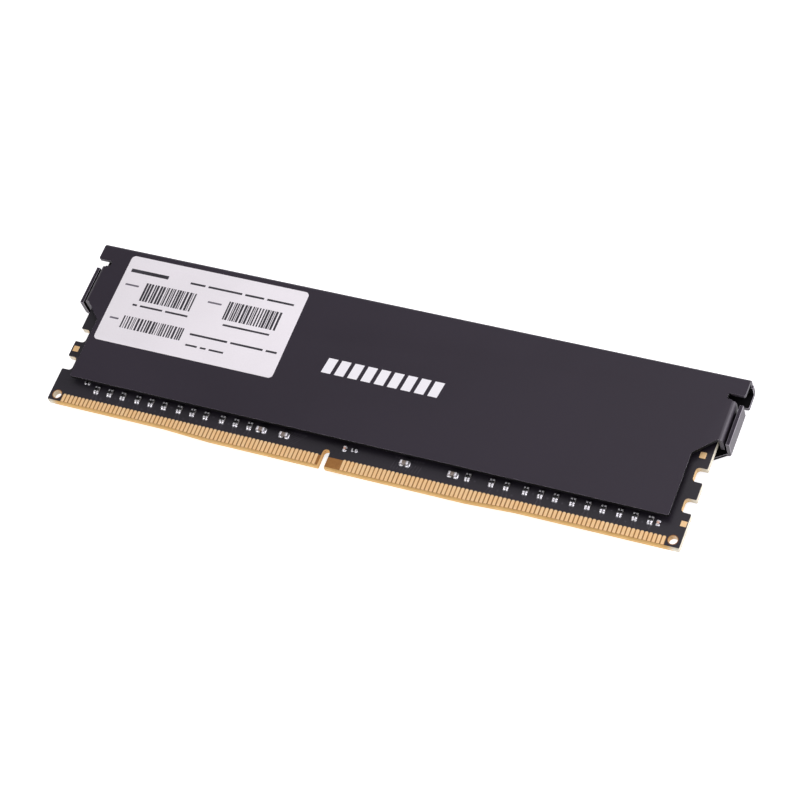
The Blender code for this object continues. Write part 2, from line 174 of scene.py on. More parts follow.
def surface(rings):
    """Points and faces of closed surfaces given as rings of points: each ring is joined to the
    next by four-sided faces, and the first and the last ring are closed flat. The array's axes
    are copies, rings, points of a ring and x, y, z; rings turn counter-clockwise about the way
    they advance."""
    rings = np.asarray(rings, float)
    rings = rings.reshape(-1, *rings.shape[-3:])
    copies, count, around, _ = rings.shape
    here = np.arange(around)
    ahead = (here + 1) % around
    level = np.arange(count - 1)[:, None] * around
    sides = np.stack([level + here, level + ahead, level + ahead + around, level + here + around], -1)
    lids = np.concatenate([here[::-1], (count - 1) * around + here])
    corners = np.concatenate([sides.reshape(-1), lids])
    sizes = np.concatenate([np.full((count - 1) * around, 4), [around, around]])
    shift = np.arange(copies)[:, None] * count * around
    return rings.reshape(-1, 3), (corners + shift).reshape(-1), np.tile(sizes, copies)


def together(*surfaces):
    """Several surfaces as one, with the later ones' point numbers moved up."""
    starts = np.cumsum([0, *[len(points) for points, _, _ in surfaces]])
    points = np.concatenate([points for points, _, _ in surfaces])
    corners = np.concatenate([corners + start for (_, corners, _), start in zip(surfaces, starts)])
    sizes = np.concatenate([sizes for _, _, sizes in surfaces])
    return points, corners, sizes


def plate_rings(size, radii, profile, corner_steps=4):
    """Rings of a rounded rectangle: a point of the outline is its corner's centre plus the corner
    radius less the ring's inset, along a direction that turns a quarter circle at each corner.
    The profile lists each ring's inset and height."""
    signs = np.array([(1, 1), (-1, 1), (-1, -1), (1, -1)], float)[:, None]
    radii = np.broadcast_to(np.asarray(radii, float), 4)[:, None, None]
    centres = signs * (np.array(size) / 2 - radii)
    angles = np.radians(np.arange(4)[:, None] * 90 + np.linspace(0, 90, corner_steps + 1))
    ways = np.stack([np.cos(angles), np.sin(angles)], -1)
    inset, height = np.array(profile, float).T
    reach = radii - inset[:, None, None, None]
    flat = centres + signs * np.minimum(reach, 0.0) + ways * np.maximum(reach, 0.0)
    flat = flat.reshape(len(inset), -1, 2)
    high = np.broadcast_to(height[:, None, None], (*flat.shape[:2], 1))
    return np.concatenate([flat, high], -1)


def placed(rings, places, turns=0.0):
    """Copies of a set of rings, each turned about +Z by its angle in degrees and moved to its place."""
    places = np.asarray(places, float).reshape(-1, 3)
    angles = np.radians(np.broadcast_to(np.asarray(turns, float), len(places)))
    c, s, zero, one = np.cos(angles), np.sin(angles), np.zeros_like(angles), np.ones_like(angles)
    turn = np.stack([c, s, zero, -s, c, zero, zero, zero, one], -1).reshape(-1, 1, 3, 3)
    return np.asarray(rings)[None] @ turn + places[:, None, None]


def face_down(rings):
    """Rings turned half round about +X, for a part on the board's lower face."""
    return rings * np.array([1.0, -1.0, -1.0])


def rounded_profile(height, radius, steps=3, foot=0.0):
    """Insets and heights of a wall whose top edge, and bottom edge where foot is given, are quarter
    circles: inset r (1 - cos t), height less r (1 - sin t)."""
    t = np.linspace(0.0, pi / 2, steps + 1)
    top = np.stack([radius * (1 - np.cos(t)), height - radius * (1 - np.sin(t))], -1)
    t = t[::-1]
    bottom = np.stack([foot * (1 - np.cos(t)), foot * (1 - np.sin(t))], -1)
    return np.concatenate([bottom if foot else [[0.0, 0.0]], top])


def piece(name, shape, finish, stands_for=(), smooth=30.0):
    """A mesh object from a surface in millimetres, riding on the module."""
    points, corners, sizes = shape
    mesh = bpy.data.meshes.new(name)
    mesh.vertices.add(len(points))
    mesh.vertices.foreach_set("co", (points * MM).astype(np.float32).ravel())
    mesh.loops.add(len(corners))
    mesh.loops.foreach_set("vertex_index", corners.astype(np.int32))
    mesh.polygons.add(len(sizes))
    mesh.polygons.foreach_set("loop_start", np.concatenate([[0], np.cumsum(sizes)[:-1]]).astype(np.int32))
    mesh.update(calc_edges=True)
    mesh.validate()
    mesh.materials.append(finish)
    mesh.shade_smooth()
    mesh.set_sharp_from_angle(angle=radians(smooth))
    obj = bpy.data.objects.new(name, mesh)
    return join_module(obj, stands_for)


def join_module(obj, stands_for):
    """Makes a new object part of the module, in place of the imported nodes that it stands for."""
    bpy.context.scene.collection.objects.link(obj)
    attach(obj, "root")
    if stands_for:
        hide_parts(*stands_for)
    return obj


# ---------------------------------------------------------------- places read from the frame

def low(node):
    """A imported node's lowest corner."""
    return np.array(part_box(node)[0]) / MM


def high(node):
    """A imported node's highest corner."""
    return np.array(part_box(node)[1]) / MM


def middle(node):
    return (low(node) + high(node)) / 2


def size(node):
    return high(node) - low(node)


def named(prefix):
    """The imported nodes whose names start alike, in order."""
    return sorted(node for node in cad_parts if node.startswith(prefix))


# ---------------------------------------------------------------- materials

def colour(red, green, blue):
    """A display colour from 0 to 255 as the linear colour that a shader takes."""
    share = np.array([red, green, blue]) / 255
    linear = np.where(share > 0.04045, ((share + 0.055) / 1.055) ** 2.4, share / 12.92)
    return (*linear, 1.0)


def node(tree, kind, settings=None, **sockets):
    """A shader node with its settings, and each named socket linked or given a value."""
    made = tree.nodes.new(kind)
    for key, value in (settings or {}).items():
        setattr(made, key, value)
    for key, value in sockets.items():
        target = made.inputs[int(key[1:]) if key[1:].isdigit() else key.replace("_", " ")]
        if isinstance(value, bpy.types.NodeSocket):
            tree.links.new(value, target)
        else:
            target.default_value = value
    return made


def math(tree, operation, a, b=0.0):
    """One sum on two numbers, either of them a socket or a value."""
    return node(tree, "ShaderNodeMath", {"operation": operation}, _0=a, _1=b).outputs[0]


def mix(tree, share, first, second):
    """A colour between two others."""
    made = node(tree, "ShaderNodeMix", {"data_type": "RGBA"}, Factor=share)
    for index, value in ((6, first), (7, second)):
        if isinstance(value, bpy.types.NodeSocket):
            tree.links.new(value, made.inputs[index])
        else:
            made.inputs[index].default_value = value
    return made.outputs[2]


def ramp(tree, value, start, end, low_value=0.0, high_value=1.0):
    """A smooth step from one value to another as the input goes from start to end."""
    return node(
        tree,
        "ShaderNodeMapRange",
        {"interpolation_type": "SMOOTHSTEP"},
        Value=value,
        From_Min=start,
        From_Max=end,
        To_Min=low_value,
        To_Max=high_value,
    ).outputs["Result"]


def new_group(name, inputs, outputs):
    """An empty node group with named sockets, as its tree and its input and output nodes."""
    tree = bpy.data.node_groups.new(name, "ShaderNodeTree")
    for direction, sockets in (("INPUT", inputs), ("OUTPUT", outputs)):
        for label, kind in sockets:
            tree.interface.new_socket(name=label, in_out=direction, socket_type="NodeSocket" + kind)
    return tree, tree.nodes.new("NodeGroupInput"), tree.nodes.new("NodeGroupOutput")


def grain_group():
    """Fine grain over broad patches: the colour and roughness drift from patch to patch, and the
    grain gives the height."""
    inputs = [
        ("Position", "Vector"),
        ("Colour", "Color"),
        ("Other Colour", "Color"),
        ("Grain Size", "Float"),
        ("Patch Size", "Float"),
        ("Roughness", "Float"),
        ("Roughness Spread", "Float"),
    ]
    outputs = [("Colour", "Color"), ("Roughness", "Float"), ("Height", "Float")]
    tree, given, made = new_group("grain", inputs, outputs)
    grain_scale = math(tree, "DIVIDE", 1.0, given.outputs["Grain Size"])
    patch_scale = math(tree, "DIVIDE", 1.0, given.outputs["Patch Size"])
    where = given.outputs["Position"]
    grain = node(tree, "ShaderNodeTexNoise", Vector=where, Scale=grain_scale, Detail=3.0).outputs["Fac"]
    patch = node(tree, "ShaderNodeTexNoise", Vector=where, Scale=patch_scale, Detail=2.0).outputs["Fac"]
    both = math(tree, "ADD", math(tree, "MULTIPLY", patch, 0.6), math(tree, "MULTIPLY", grain, 0.4))
    share = ramp(tree, both, 0.35, 0.65)
    tinted = mix(tree, share, given.outputs["Colour"], given.outputs["Other Colour"])
    swing = math(tree, "MULTIPLY", math(tree, "SUBTRACT", both, 0.5), given.outputs["Roughness Spread"])
    tree.links.new(tinted, made.inputs["Colour"])
    tree.links.new(math(tree, "ADD", given.outputs["Roughness"], swing), made.inputs["Roughness"])
    tree.links.new(grain, made.inputs["Height"])
    return tree


def weave_group():
    """Glass cloth: two sets of crossing threads, as a height from 0 to 1."""
    tree, given, made = new_group(
        "glass_weave", [("Position", "Vector"), ("Thread Pitch", "Float")], [("Height", "Float")]
    )
    axes = node(tree, "ShaderNodeSeparateXYZ", Vector=given.outputs["Position"]).outputs
    turn = math(tree, "DIVIDE", pi, given.outputs["Thread Pitch"])
    waves = [math(tree, "SINE", math(tree, "MULTIPLY", axes[i], turn)) for i in (0, 1)]
    crossing = math(tree, "MULTIPLY", math(tree, "MULTIPLY", waves[0], waves[1]), 0.5)
    tree.links.new(math(tree, "ADD", crossing, 0.5), made.inputs["Height"])
    return tree


def wipe_group():
    """Fine lines along the module's height, as left by sliding in and out of a socket."""
    tree, given, made = new_group(
        "wipe_marks", [("Position", "Vector"), ("Spacing", "Float")], [("Marks", "Float")]
    )
    where, stretch = given.outputs["Position"], (1.0, 0.04, 1.0)
    stretched = node(tree, "ShaderNodeMapping", {"vector_type": "POINT"}, Vector=where, Scale=stretch)
    scale = math(tree, "DIVIDE", 1.0, given.outputs["Spacing"])
    lines = node(tree, "ShaderNodeTexNoise", Vector=stretched.outputs[0], Scale=scale, Detail=4.0)
    tree.links.new(ramp(tree, lines.outputs["Fac"], 0.4, 0.7), made.inputs["Marks"])
    return tree


class Finish:
    """A material being made: its tree, its shader and the position in millimetres."""

    def __init__(self, name, roughness=0.5, metallic=0.0, specular=0.5, coat=0.0):
        self.material = bpy.data.materials.new(name)
        self.material.use_nodes = True
        self.tree = self.material.node_tree
        self.shader = self.tree.nodes["Principled BSDF"]
        self.shader.inputs["Roughness"].default_value = roughness
        self.shader.inputs["Metallic"].default_value = metallic
        self.shader.inputs["Specular IOR Level"].default_value = specular
        self.shader.inputs["Coat Weight"].default_value = coat
        coordinates = self.tree.nodes.new("ShaderNodeTexCoord")
        self.position = node(
            self.tree,
            "ShaderNodeVectorMath",
            {"operation": "SCALE"},
            Vector=coordinates.outputs["Object"],
            Scale=1 / MM,
        ).outputs[0]

    def set(self, socket, value):
        self.tree.links.new(value, self.shader.inputs[socket])

    def group(self, tree, **sockets):
        return node(
            self.tree, "ShaderNodeGroup", {"node_tree": tree}, Position=self.position, **sockets
        ).outputs

    def grain(self, first, second, grain_size, patch_size, roughness, spread):
        return self.group(
            GRAIN,
            Colour=first,
            Other_Colour=second,
            Grain_Size=grain_size,
            Patch_Size=patch_size,
            Roughness=roughness,
            Roughness_Spread=spread,
        )

    def bump(self, height, depth):
        """Raises the surface by a height map whose full range is depth millimetres."""
        made = node(self.tree, "ShaderNodeBump", Height=height, Distance=depth * MM, Strength=1.0)
        if self.shader.inputs["Normal"].is_linked:
            below = self.shader.inputs["Normal"].links[0].from_socket
            self.tree.links.new(below, made.inputs["Normal"])
        self.set("Normal", made.outputs[0])


def grained(name, first, second, grain_size, patch_size, roughness, spread, depth, **shader):
    """A material that is fine grain over broad patches and nothing else."""
    finish = Finish(name, **shader)
    outputs = finish.grain(first, second, grain_size, patch_size, roughness, spread)
    finish.set("Base Color", outputs["Colour"])
    finish.set("Roughness", outputs["Roughness"])
    finish.bump(outputs["Height"], depth)
    return finish.material


def board_finish():
    """Black solder mask where the board is covered, bare glass laminate elsewhere, and the cut
    edges with their layers. The cover is told from the distance to the contact edge, the ends
    and the small holes, and only the two faces have it."""
    finish = Finish("circuit_board", specular=0.5)
    tree = finish.tree
    x, y, z = node(tree, "ShaderNodeSeparateXYZ", Vector=finish.position).outputs
    bottom, top = low("circuit_board"), high("circuit_board")
    centre_z, half_z = middle("circuit_board")[2], size("circuit_board")[2] / 2
    beside = math(tree, "ABSOLUTE", x)
    outward = math(tree, "ABSOLUTE", math(tree, "SUBTRACT", z, centre_z))
    on_face = ramp(tree, outward, half_z - 0.012, half_z - 0.006)
    above = ramp(tree, y, bottom[1] + MASK_LINE - 0.02, bottom[1] + MASK_LINE + 0.02)
    side = ramp(tree, beside, top[0] - MASK_SIDE - 0.02, top[0] - MASK_SIDE + 0.02)
    across = math(tree, "SUBTRACT", beside, top[0] - HOLE_INSET)
    along = math(tree, "SUBTRACT", y, bottom[1] + HOLE_HEIGHT)
    across, along = math(tree, "MULTIPLY", across, across), math(tree, "MULTIPLY", along, along)
    from_hole = math(tree, "SQRT", math(tree, "ADD", across, along))
    ring = HOLE_RADIUS + RING_WIDTH
    clear = ramp(tree, from_hole, ring - 0.02, ring + 0.02)
    reached = math(tree, "MAXIMUM", above, side)
    covered = math(tree, "MULTIPLY", reached, math(tree, "MULTIPLY", on_face, clear))

    mask = finish.grain(colour(28, 24, 31), colour(35, 31, 40), 0.35, 14.0, 0.42, 0.3)
    face = finish.grain(colour(150, 98, 38), colour(170, 118, 54), 0.3, 5.0, 0.5, 0.3)
    cut = finish.grain(colour(204, 158, 80), colour(220, 176, 100), 0.12, 3.0, 0.6, 0.3)
    pale = finish.grain(colour(206, 200, 178), colour(224, 219, 200), 0.1, 2.0, 0.6, 0.3)
    at_end = ramp(tree, beside, top[0] - 2.6, top[0] - 0.6)
    edge = mix(tree, at_end, cut["Colour"], pale["Colour"])
    layers = math(tree, "SINE", math(tree, "MULTIPLY", z, 2 * pi / 0.2))
    edge = mix(tree, ramp(tree, layers, 0.2, 1.0, 0.0, 0.15), edge, colour(150, 104, 52))
    bare = mix(tree, on_face, edge, face["Colour"])
    finish.set("Base Color", mix(tree, covered, bare, mask["Colour"]))
    rough = node(tree, "ShaderNodeMix", {"data_type": "FLOAT"}, Factor=covered)
    tree.links.new(face["Roughness"], rough.inputs[2])
    tree.links.new(mask["Roughness"], rough.inputs[3])
    finish.set("Roughness", rough.outputs[0])
    finish.bump(finish.group(WEAVE, Thread_Pitch=0.42)["Height"], 0.002)
    finish.bump(mask["Height"], 0.003)
    return finish.material


def gold_finish():
    """Gold plating with fine wipe marks, which darken it a little and dent it."""
    finish = Finish("gold_plating", metallic=0.2)
    grain = finish.grain(colour(255, 220, 164), colour(255, 212, 150), 0.3, 2.5, 0.4, 0.3)
    marks = finish.group(WIPE, Spacing=0.09)["Marks"]
    worn = math(finish.tree, "MULTIPLY", marks, 0.35)
    finish.set("Base Color", mix(finish.tree, worn, grain["Colour"], colour(250, 198, 132)))
    finish.set("Roughness", grain["Roughness"])
    finish.bump(marks, 0.0015)
    return finish.material


def paint_finish(name, first, second, roughness):
    """Matt powder paint: fine orange peel with a finer grain in it."""
    finish = Finish(name, specular=0.5)
    grain = finish.grain(first, second, 0.22, 22.0, roughness, 0.2)
    finish.set("Base Color", grain["Colour"])
    finish.set("Roughness", grain["Roughness"])
    peel = node(finish.tree, "ShaderNodeTexNoise", Vector=finish.position, Scale=1.4, Detail=1.0)
    finish.bump(peel.outputs["Fac"], 0.003)
    finish.bump(grain["Height"], 0.0015)
    return finish.material


def make_materials():
    """Every finish of the module by its short name."""
    return {
        "board": board_finish(),
        "gold": gold_finish(),
        "mask": grained(
            "solder_mask", colour(42, 38, 46), colour(52, 48, 56), 0.35, 14.0, 0.36, 0.3, 0.003
        ),
        "paint": paint_finish("charcoal_paint", colour(36, 28, 41), colour(40, 32, 45), 0.45),
        # much paler than the paint: partly thinner paint on the rounded edges, mostly a painted highlight
        # along them
        "edge": paint_finish("charcoal_paint_edge_highlight", colour(165, 160, 168), colour(182, 177, 186), 0.32),
        # paler than the paint: painted light on the end flanges, which catch the light from the right and
        # the floor
        "flange": paint_finish("charcoal_paint_flange", colour(54, 49, 57), colour(61, 56, 64), 0.42),
        # near black: painted shade on the faces inside the spreader and on the plate's cut edges, where
        # little light reaches
        "painted_shade": grained(
            "spreader_painted_shade", colour(8, 8, 9), colour(13, 12, 14), 0.2, 12.0, 0.7, 0.2, 0.003,
            specular=0.15,
        ),
        "solder": grained(
            "solder", colour(236, 236, 240), colour(250, 250, 252), 0.12, 0.8, 0.22, 0.2, 0.006,
            metallic=0.6,
        ),
        "cap": grained(
            "tinned_end", colour(226, 224, 226), colour(244, 243, 246), 0.06, 0.5, 0.34, 0.3, 0.006,
            metallic=0.85,
        ),
        "glaze": grained(
            "resistor_glaze", colour(14, 13, 15), colour(24, 22, 25), 0.08, 0.7, 0.2, 0.1, 0.002
        ),
        "alumina": grained(
            "resistor_base", colour(150, 147, 144), colour(172, 169, 166), 0.05, 0.6, 0.5, 0.2, 0.003
        ),
        "dielectric": grained(
            "capacitor_body", colour(122, 110, 100), colour(146, 134, 124), 0.06, 0.5, 0.4, 0.2, 0.004
        ),
        "pale_dielectric": grained(
            "pale_chip_body", colour(214, 168, 146), colour(232, 192, 172), 0.06, 0.5, 0.45, 0.2, 0.004
        ),
        "package": grained(
            "moulded_package", colour(28, 28, 29), colour(38, 38, 39), 0.08, 4.0, 0.6, 0.2, 0.006
        ),
        "pad": grained(
            "thermal_pad", colour(126, 132, 142), colour(148, 154, 164), 0.3, 5.0, 0.8, 0.2, 0.03
        ),
        "label": grained(
            "label_film", colour(244, 241, 242), colour(249, 246, 247), 0.25, 16.0, 0.5, 0.15, 0.0015
        ),
        "ink": grained("label_ink", colour(38, 36, 42), colour(58, 56, 62), 0.09, 3.0, 0.6, 0.2, 0.001),
        "pale_ink": grained(
            "pale_label_ink", colour(96, 92, 100), colour(122, 118, 126), 0.09, 3.0, 0.6, 0.2, 0.001
        ),
        "print": grained(
            "white_print", colour(253, 252, 254), colour(255, 255, 255), 0.15, 6.0, 0.5, 0.2, 0.002
        ),
    }


# ---------------------------------------------------------------- pieces

def make_contacts():
    """Gold contacts: rounded plates on one pitch, between the ends of each packed comb. Each starts
    1 long, and its upper and lower halves move apart by its own length less 1."""
    for comb in named("contacts_"):
        start, end = low(comb), high(comb)
        count = int(round((end[0] - start[0] - CONTACT_WIDTH) / CONTACT_PITCH)) + 1
        x = start[0] + CONTACT_WIDTH / 2 + CONTACT_PITCH * np.arange(count)
        foot = contact_foot(x)
        length = end[1] - foot
        unit = plate_rings((CONTACT_WIDTH, 1.0), CONTACT_CORNERS, CONTACT_PROFILE, 3)
        centre = np.stack([x, (end[1] + foot) / 2, np.full(count, start[2])], -1)
        rings = placed(unit, np.zeros((count, 3)))
        grow = np.sign(rings[..., 1]) * (length[:, None, None] - 1.0) / 2
        rings[..., 1] += grow
        if "lower" in comb:
            rings = face_down(rings)
            centre[:, 2] = end[2]
            rings[..., 1] *= -1
            rings = rings[:, :, ::-1]
        rings = rings + centre[:, None, None]
        piece(comb + "_plating", surface(rings), FINISH["gold"], [comb])


def contact_foot(x):
    """The contacts' lower ends follow the board's edge, which rises towards both ends: the height
    of the rise times the share of its length passed so far, from 0 to 1."""
    rise = np.clip((np.abs(x) - np.where(x < 0, *RISE_STARTS)) / RISE_LENGTH, 0.0, 1.0)
    return low("circuit_board")[1] + CONTACT_FOOT + RISE_HEIGHT * rise


def make_test_squares():
    """Small bare gold plates on the board's upper face."""
    board = low("circuit_board")
    top = high("circuit_board")[2]
    shapes = []
    for x, y, width, length in TEST_SQUARES:
        rings = plate_rings((width, length), 0.08, TEST_SQUARE_PROFILE, 2)
        place = (board[0] + x, board[1] + y, top)
        shapes.append(surface(placed(rings, [place])))
    piece("test_squares", together(*shapes), FINISH["gold"])


def terminal_rings(half_length, height, width, reach):
    """One metal end of a resistor array with its solder: a strip that starts on the top face, turns
    down the side and sweeps out onto the board in a hollow curve, carried across its width. The
    cross-section is listed counter-clockwise seen from +X, and the ends pull in to round it."""
    shell = ARRAY_SHELL
    t = np.linspace(0.0, pi / 2, 5)
    sweep = ARRAY_SWEEP * height
    outer_y = half_length + shell + reach * (1 - np.cos(t))
    outer_z = sweep * (1 - np.sin(t)) + 0.01
    section = np.array([
        (half_length - ARRAY_LAP, height - 0.05),
        (half_length - ARRAY_LAP, 0.01),
        (outer_y[-1], 0.01),
        *zip(outer_y[::-1][1:], outer_z[::-1][1:]),
        (half_length + shell, height - 0.04),
        (half_length - 0.02, height + shell),
        (half_length - ARRAY_LAP + 0.02, height + shell),
    ])
    middle_point = section.mean(0)
    across = np.array(ARRAY_SPREAD) * width
    flat = middle_point + (section - middle_point) * np.array(ARRAY_SHRINK)[:, None, None]
    first = np.broadcast_to(across[:, None, None], (*flat.shape[:2], 1))
    return np.concatenate([first, flat], -1)


def make_resistor_arrays():
    """Each array is a pale ceramic block glazed black on top, with two metal ends on each long side."""
    nodes = named("resistor_array_")
    width, length, height = size(nodes[0])
    places = np.array([middle(node) for node in nodes])
    places[:, 2] = low(nodes[0])[2] - BOARD_GAP
    body = rounded_profile(height - ARRAY_GLAZE, ARRAY_ROUND, 2)
    body = plate_rings((width, length), ARRAY_CORNER, body, 2)
    body[:, :, 2] += BOARD_GAP
    glazed = (width - 2 * ARRAY_RIM, length - 2 * ARRAY_RIM)
    glaze = plate_rings(glazed, ARRAY_CORNER, rounded_profile(ARRAY_GLAZE, ARRAY_ROUND, 2), 2)
    glaze[:, :, 2] += height + BOARD_GAP - ARRAY_GLAZE
    piece("resistor_array_bodies", surface(placed(body, places)), FINISH["alumina"], nodes)
    piece("resistor_array_glaze", surface(placed(glaze, places)), FINISH["glaze"])
    shapes = []
    for side, reach in ARRAY_FILLETS.items():
        ends = terminal_rings(length / 2, height + BOARD_GAP, ARRAY_TERMINAL, reach)
        for step in (-0.5, 0.5):
            offset = np.array([step * ARRAY_TERMINAL_PITCH, 0.0, 0.0])
            turn = 0.0 if side > 0 else 180.0
            shapes.append(surface(placed(ends, places + offset, turn)))
    piece("resistor_array_ends", together(*shapes), FINISH["solder"])


def box_rings(length, width, height, rounding, steps=3):
    """A block with all its edges rounded, standing on its own origin."""
    profile = rounded_profile(height, rounding, steps, rounding)
    return plate_rings((length, width), rounding * 1.05, profile, steps)


def fillet_rings(length, width, height, reach):
    """Solder round the foot of a metal end: its wall leaves the board flat and rises in a hollow
    curve to the metal, reach (1 - sin t) out at height (1 - cos t)."""
    t = np.linspace(0.0, pi / 2, 6)
    profile = np.stack([-reach * (1 - np.sin(t)), height * (1 - np.cos(t))], -1)
    profile = np.concatenate([profile, [[0.08, height + 0.01]]])
    return plate_rings((length, width), 0.08, profile, 4)


def chip_parts(name, nodes, body_finish, turns, below=False):
    """Two-terminal chip parts: a ceramic body, a metal end at each side and solder round each."""
    box = np.array([size(node) for node in nodes])
    length, width, height = max(box[0][:2]), min(box[0][:2]), box[0][2]
    gap = BOARD_GAP
    places = np.array([middle(node) for node in nodes])
    places[:, 2] = [high(node)[2] + gap if below else low(node)[2] - gap for node in nodes]
    height += gap
    body = box_rings(length * 0.9, width - 2 * CHIP_SHELL, height - CHIP_SHELL - gap, CHIP_ROUND)
    body[:, :, 2] += gap
    cap = box_rings(length * CHIP_CAP, width, height - gap, CHIP_ROUND)
    cap[:, :, 2] += gap
    reach = CHIP_FILLET * width / CHIP_FILLET_WIDTH
    fillet = fillet_rings(length * CHIP_CAP - 0.04, width - 0.04, height * CHIP_FILLET_SHARE, reach)
    flip = face_down if below else np.asarray
    out = length * (1 - CHIP_CAP) / 2
    angle = np.radians(turns)
    way = np.stack([np.cos(angle), np.sin(angle), np.zeros(len(nodes))], -1)
    caps, fillets = [], []
    for side in (-1, 1):
        caps.append(surface(placed(flip(cap), places + side * out * way, turns)))
        fillets.append(surface(placed(flip(fillet), places + side * out * way, turns)))
    piece(name + "_bodies", surface(placed(flip(body), places, turns)), body_finish, nodes)
    piece(name + "_ends", together(*caps), FINISH["cap"])
    piece(name + "_solder", together(*fillets), FINISH["solder"])


def make_chip_parts():
    """The four sets of chip parts: capacitors on both faces, and small parts upright and level."""
    upper = named("capacitor_upper_")
    chip_parts("upper_capacitors", upper, FINISH["dielectric"], [0.0] * len(upper))
    resistors = named("resistor_upper_")
    upright = [node for node in resistors if size(node)[1] > size(node)[0]]
    level = [node for node in resistors if node not in upright]
    chip_parts("upright_chips", upright, FINISH["pale_dielectric"], [90.0] * len(upright))
    chip_parts("level_chips", level, FINISH["glaze"], [0.0] * len(level))
    lower = named("capacitor_lower_")
    chip_parts("lower_capacitors", lower, FINISH["dielectric"], [0.0] * len(lower), True)


def ball_rings(radius, height):
    """A solder ball flattened between chip and board: radius times the sine of the latitude
    across, height times its cosine up, from pole to pole."""
    latitude = np.radians(BALL_LATITUDES)
    around = np.radians(np.arange(BALL_SIDES) * 360 / BALL_SIDES)
    across = np.sin(latitude)[:, None] * radius
    up = np.broadcast_to(-np.cos(latitude)[:, None] * height / 2, (len(latitude), BALL_SIDES))
    return np.stack([across * np.cos(around), across * np.sin(around), up], -1)


def make_chips():
    """Memory chips with softened mould edges, and the grid of solder balls under each."""
    nodes = named("dram_chip_")
    across, along, thick = size(nodes[0])
    gap = low("circuit_board")[2] - high(nodes[0])[2]
    profile = rounded_profile(thick, PACKAGE_ROUND, 2)
    profile[:, 0] += np.linspace(0.0, PACKAGE_DRAFT, len(profile))
    body = face_down(plate_rings((across, along), PACKAGE_CORNER, profile, 3))
    places = np.array([middle(node) for node in nodes])
    places[:, 2] = high(nodes[0])[2]
    piece("memory_chips", surface(placed(body, places)), FINISH["package"], nodes)
    column, row = np.meshgrid(BALL_COLUMNS, np.arange(BALL_ROWS) - (BALL_ROWS - 1) / 2)
    column, row = column.ravel() * BALL_PITCH, row.ravel() * BALL_PITCH
    grid = np.stack([column, row, np.full(column.size, gap / 2)], -1)
    balls = (places[:, None] + grid).reshape(-1, 3)
    piece("solder_balls", surface(placed(ball_rings(BALL_RADIUS, gap), balls)), FINISH["solder"])
    small = "spd_eeprom"
    eeprom = face_down(plate_rings(size(small)[:2], 0.1, rounded_profile(size(small)[2], 0.06, 2), 3))
    place = middle(small)
    place[2] = high(small)[2]
    eeprom = surface(placed(eeprom, [place]))
    piece("configuration_chip", eeprom, FINISH["package"], [small])


def make_thermal_pads():
    """Soft pads with bulging cut sides: inset the bulge times 1 - cos t, height half of the
    thickness times 1 + sin t, for t from -90 to 90 degrees."""
    for name in named("thermal_pad_"):
        x, y, thick = size(name)
        t = np.linspace(-pi / 2, pi / 2, 9)
        profile = np.stack([PAD_BULGE * (1 - np.cos(t)), thick * (1 + np.sin(t)) / 2], -1)
        place = middle(name)
        place[2] = low(name)[2]
        rings = placed(plate_rings((x, y), PAD_CORNER, profile, 6), [place])
        piece(name + "_soft", surface(rings), FINISH["pad"], [name])


def trace_rings(paths, width, height):
    """Raised lines along straight-legged paths: at each point the section is a low ridge set square
    to the path's mean direction there. Paths have the axes paths, points and x, y."""
    ahead = np.gradient(paths, axis=1)
    ahead /= np.linalg.norm(ahead, axis=-1, keepdims=True)
    aside = np.stack([ahead[..., 1], -ahead[..., 0]], -1)
    across = np.array([0.5, 0.28, -0.28, -0.5]) * width
    up = np.array([-0.002, height, height, -0.002])
    flat = paths[:, :, None] + aside[:, :, None] * across[:, None]
    tall = np.broadcast_to(up[:, None], (*flat.shape[:3], 1))
    return np.concatenate([flat, tall], -1)


def make_traces():
    """Copper lines under the mask: from the arrays down to the contacts, two bundles that run aslant
    beside the key, and small covered vias. A via is a low dome: inset half of its radius times
    1 - cos t, height its rise times sin t."""
    board, top = low("circuit_board"), high("circuit_board")[2]
    arrays = np.array([middle(node)[0] for node in named("resistor_array_")])
    start = (arrays[:, None] + np.array([-0.5, 0.5]) * ARRAY_TERMINAL_PITCH).ravel()
    first_contact = low("contacts_upper_left")[0] + CONTACT_WIDTH / 2
    contact = np.round((start - first_contact) / CONTACT_PITCH) * CONTACT_PITCH + first_contact
    x = np.stack([start, start, contact, contact], -1)
    y = np.broadcast_to(board[1] + np.array(TRACE_BENDS), x.shape)
    straight = np.stack([x, y], -1)
    bundles = []
    rise = np.linspace(0.0, 1.0, len(TRACE_BENDS))
    for first, count, lean, bottom, climb in BUNDLES:
        step = first + np.arange(count)[:, None] * BUNDLE_PITCH
        bundles.append(np.stack([step + lean * rise, board[1] + bottom + climb * rise + 0 * step], -1))
    paths = np.concatenate([straight, *bundles])
    rings = trace_rings(paths, TRACE_WIDTH, TRACE_HEIGHT)
    rings[..., 2] += top
    via_x = np.concatenate([arrays + VIA_ASIDE, paths[len(straight):, -1, 0]])
    chance = np.random.default_rng(11)
    via_y = board[1] + np.concatenate([
        chance.uniform(*VIA_HEIGHTS, len(arrays)),
        np.full(len(via_x) - len(arrays), BUNDLE_VIA_HEIGHT),
    ])
    t = np.linspace(0.0, pi / 2, 4)
    profile = np.stack([VIA_RADIUS * 0.5 * (1 - np.cos(t)), VIA_RISE * np.sin(t)], -1)
    dome = plate_rings((2 * VIA_RADIUS, 2 * VIA_RADIUS), VIA_RADIUS, profile, 2)
    vias = placed(dome, np.stack([via_x, via_y, np.full(len(via_x), top)], -1))
    piece("traces_under_mask", together(surface(rings), surface(vias)), FINISH["mask"])


def make_label():
    """White film label with a soft cut edge."""
    x, y, _ = size("label")
    place = middle("label")
    place[2] = low("label")[2]
    rings = plate_rings((x, y), LABEL_RADIUS, rounded_profile(LABEL_THICKNESS, LABEL_ROUND, 3), 10)
    piece("label_sheet", surface(placed(rings, [place])), FINISH["label"], ["label"])


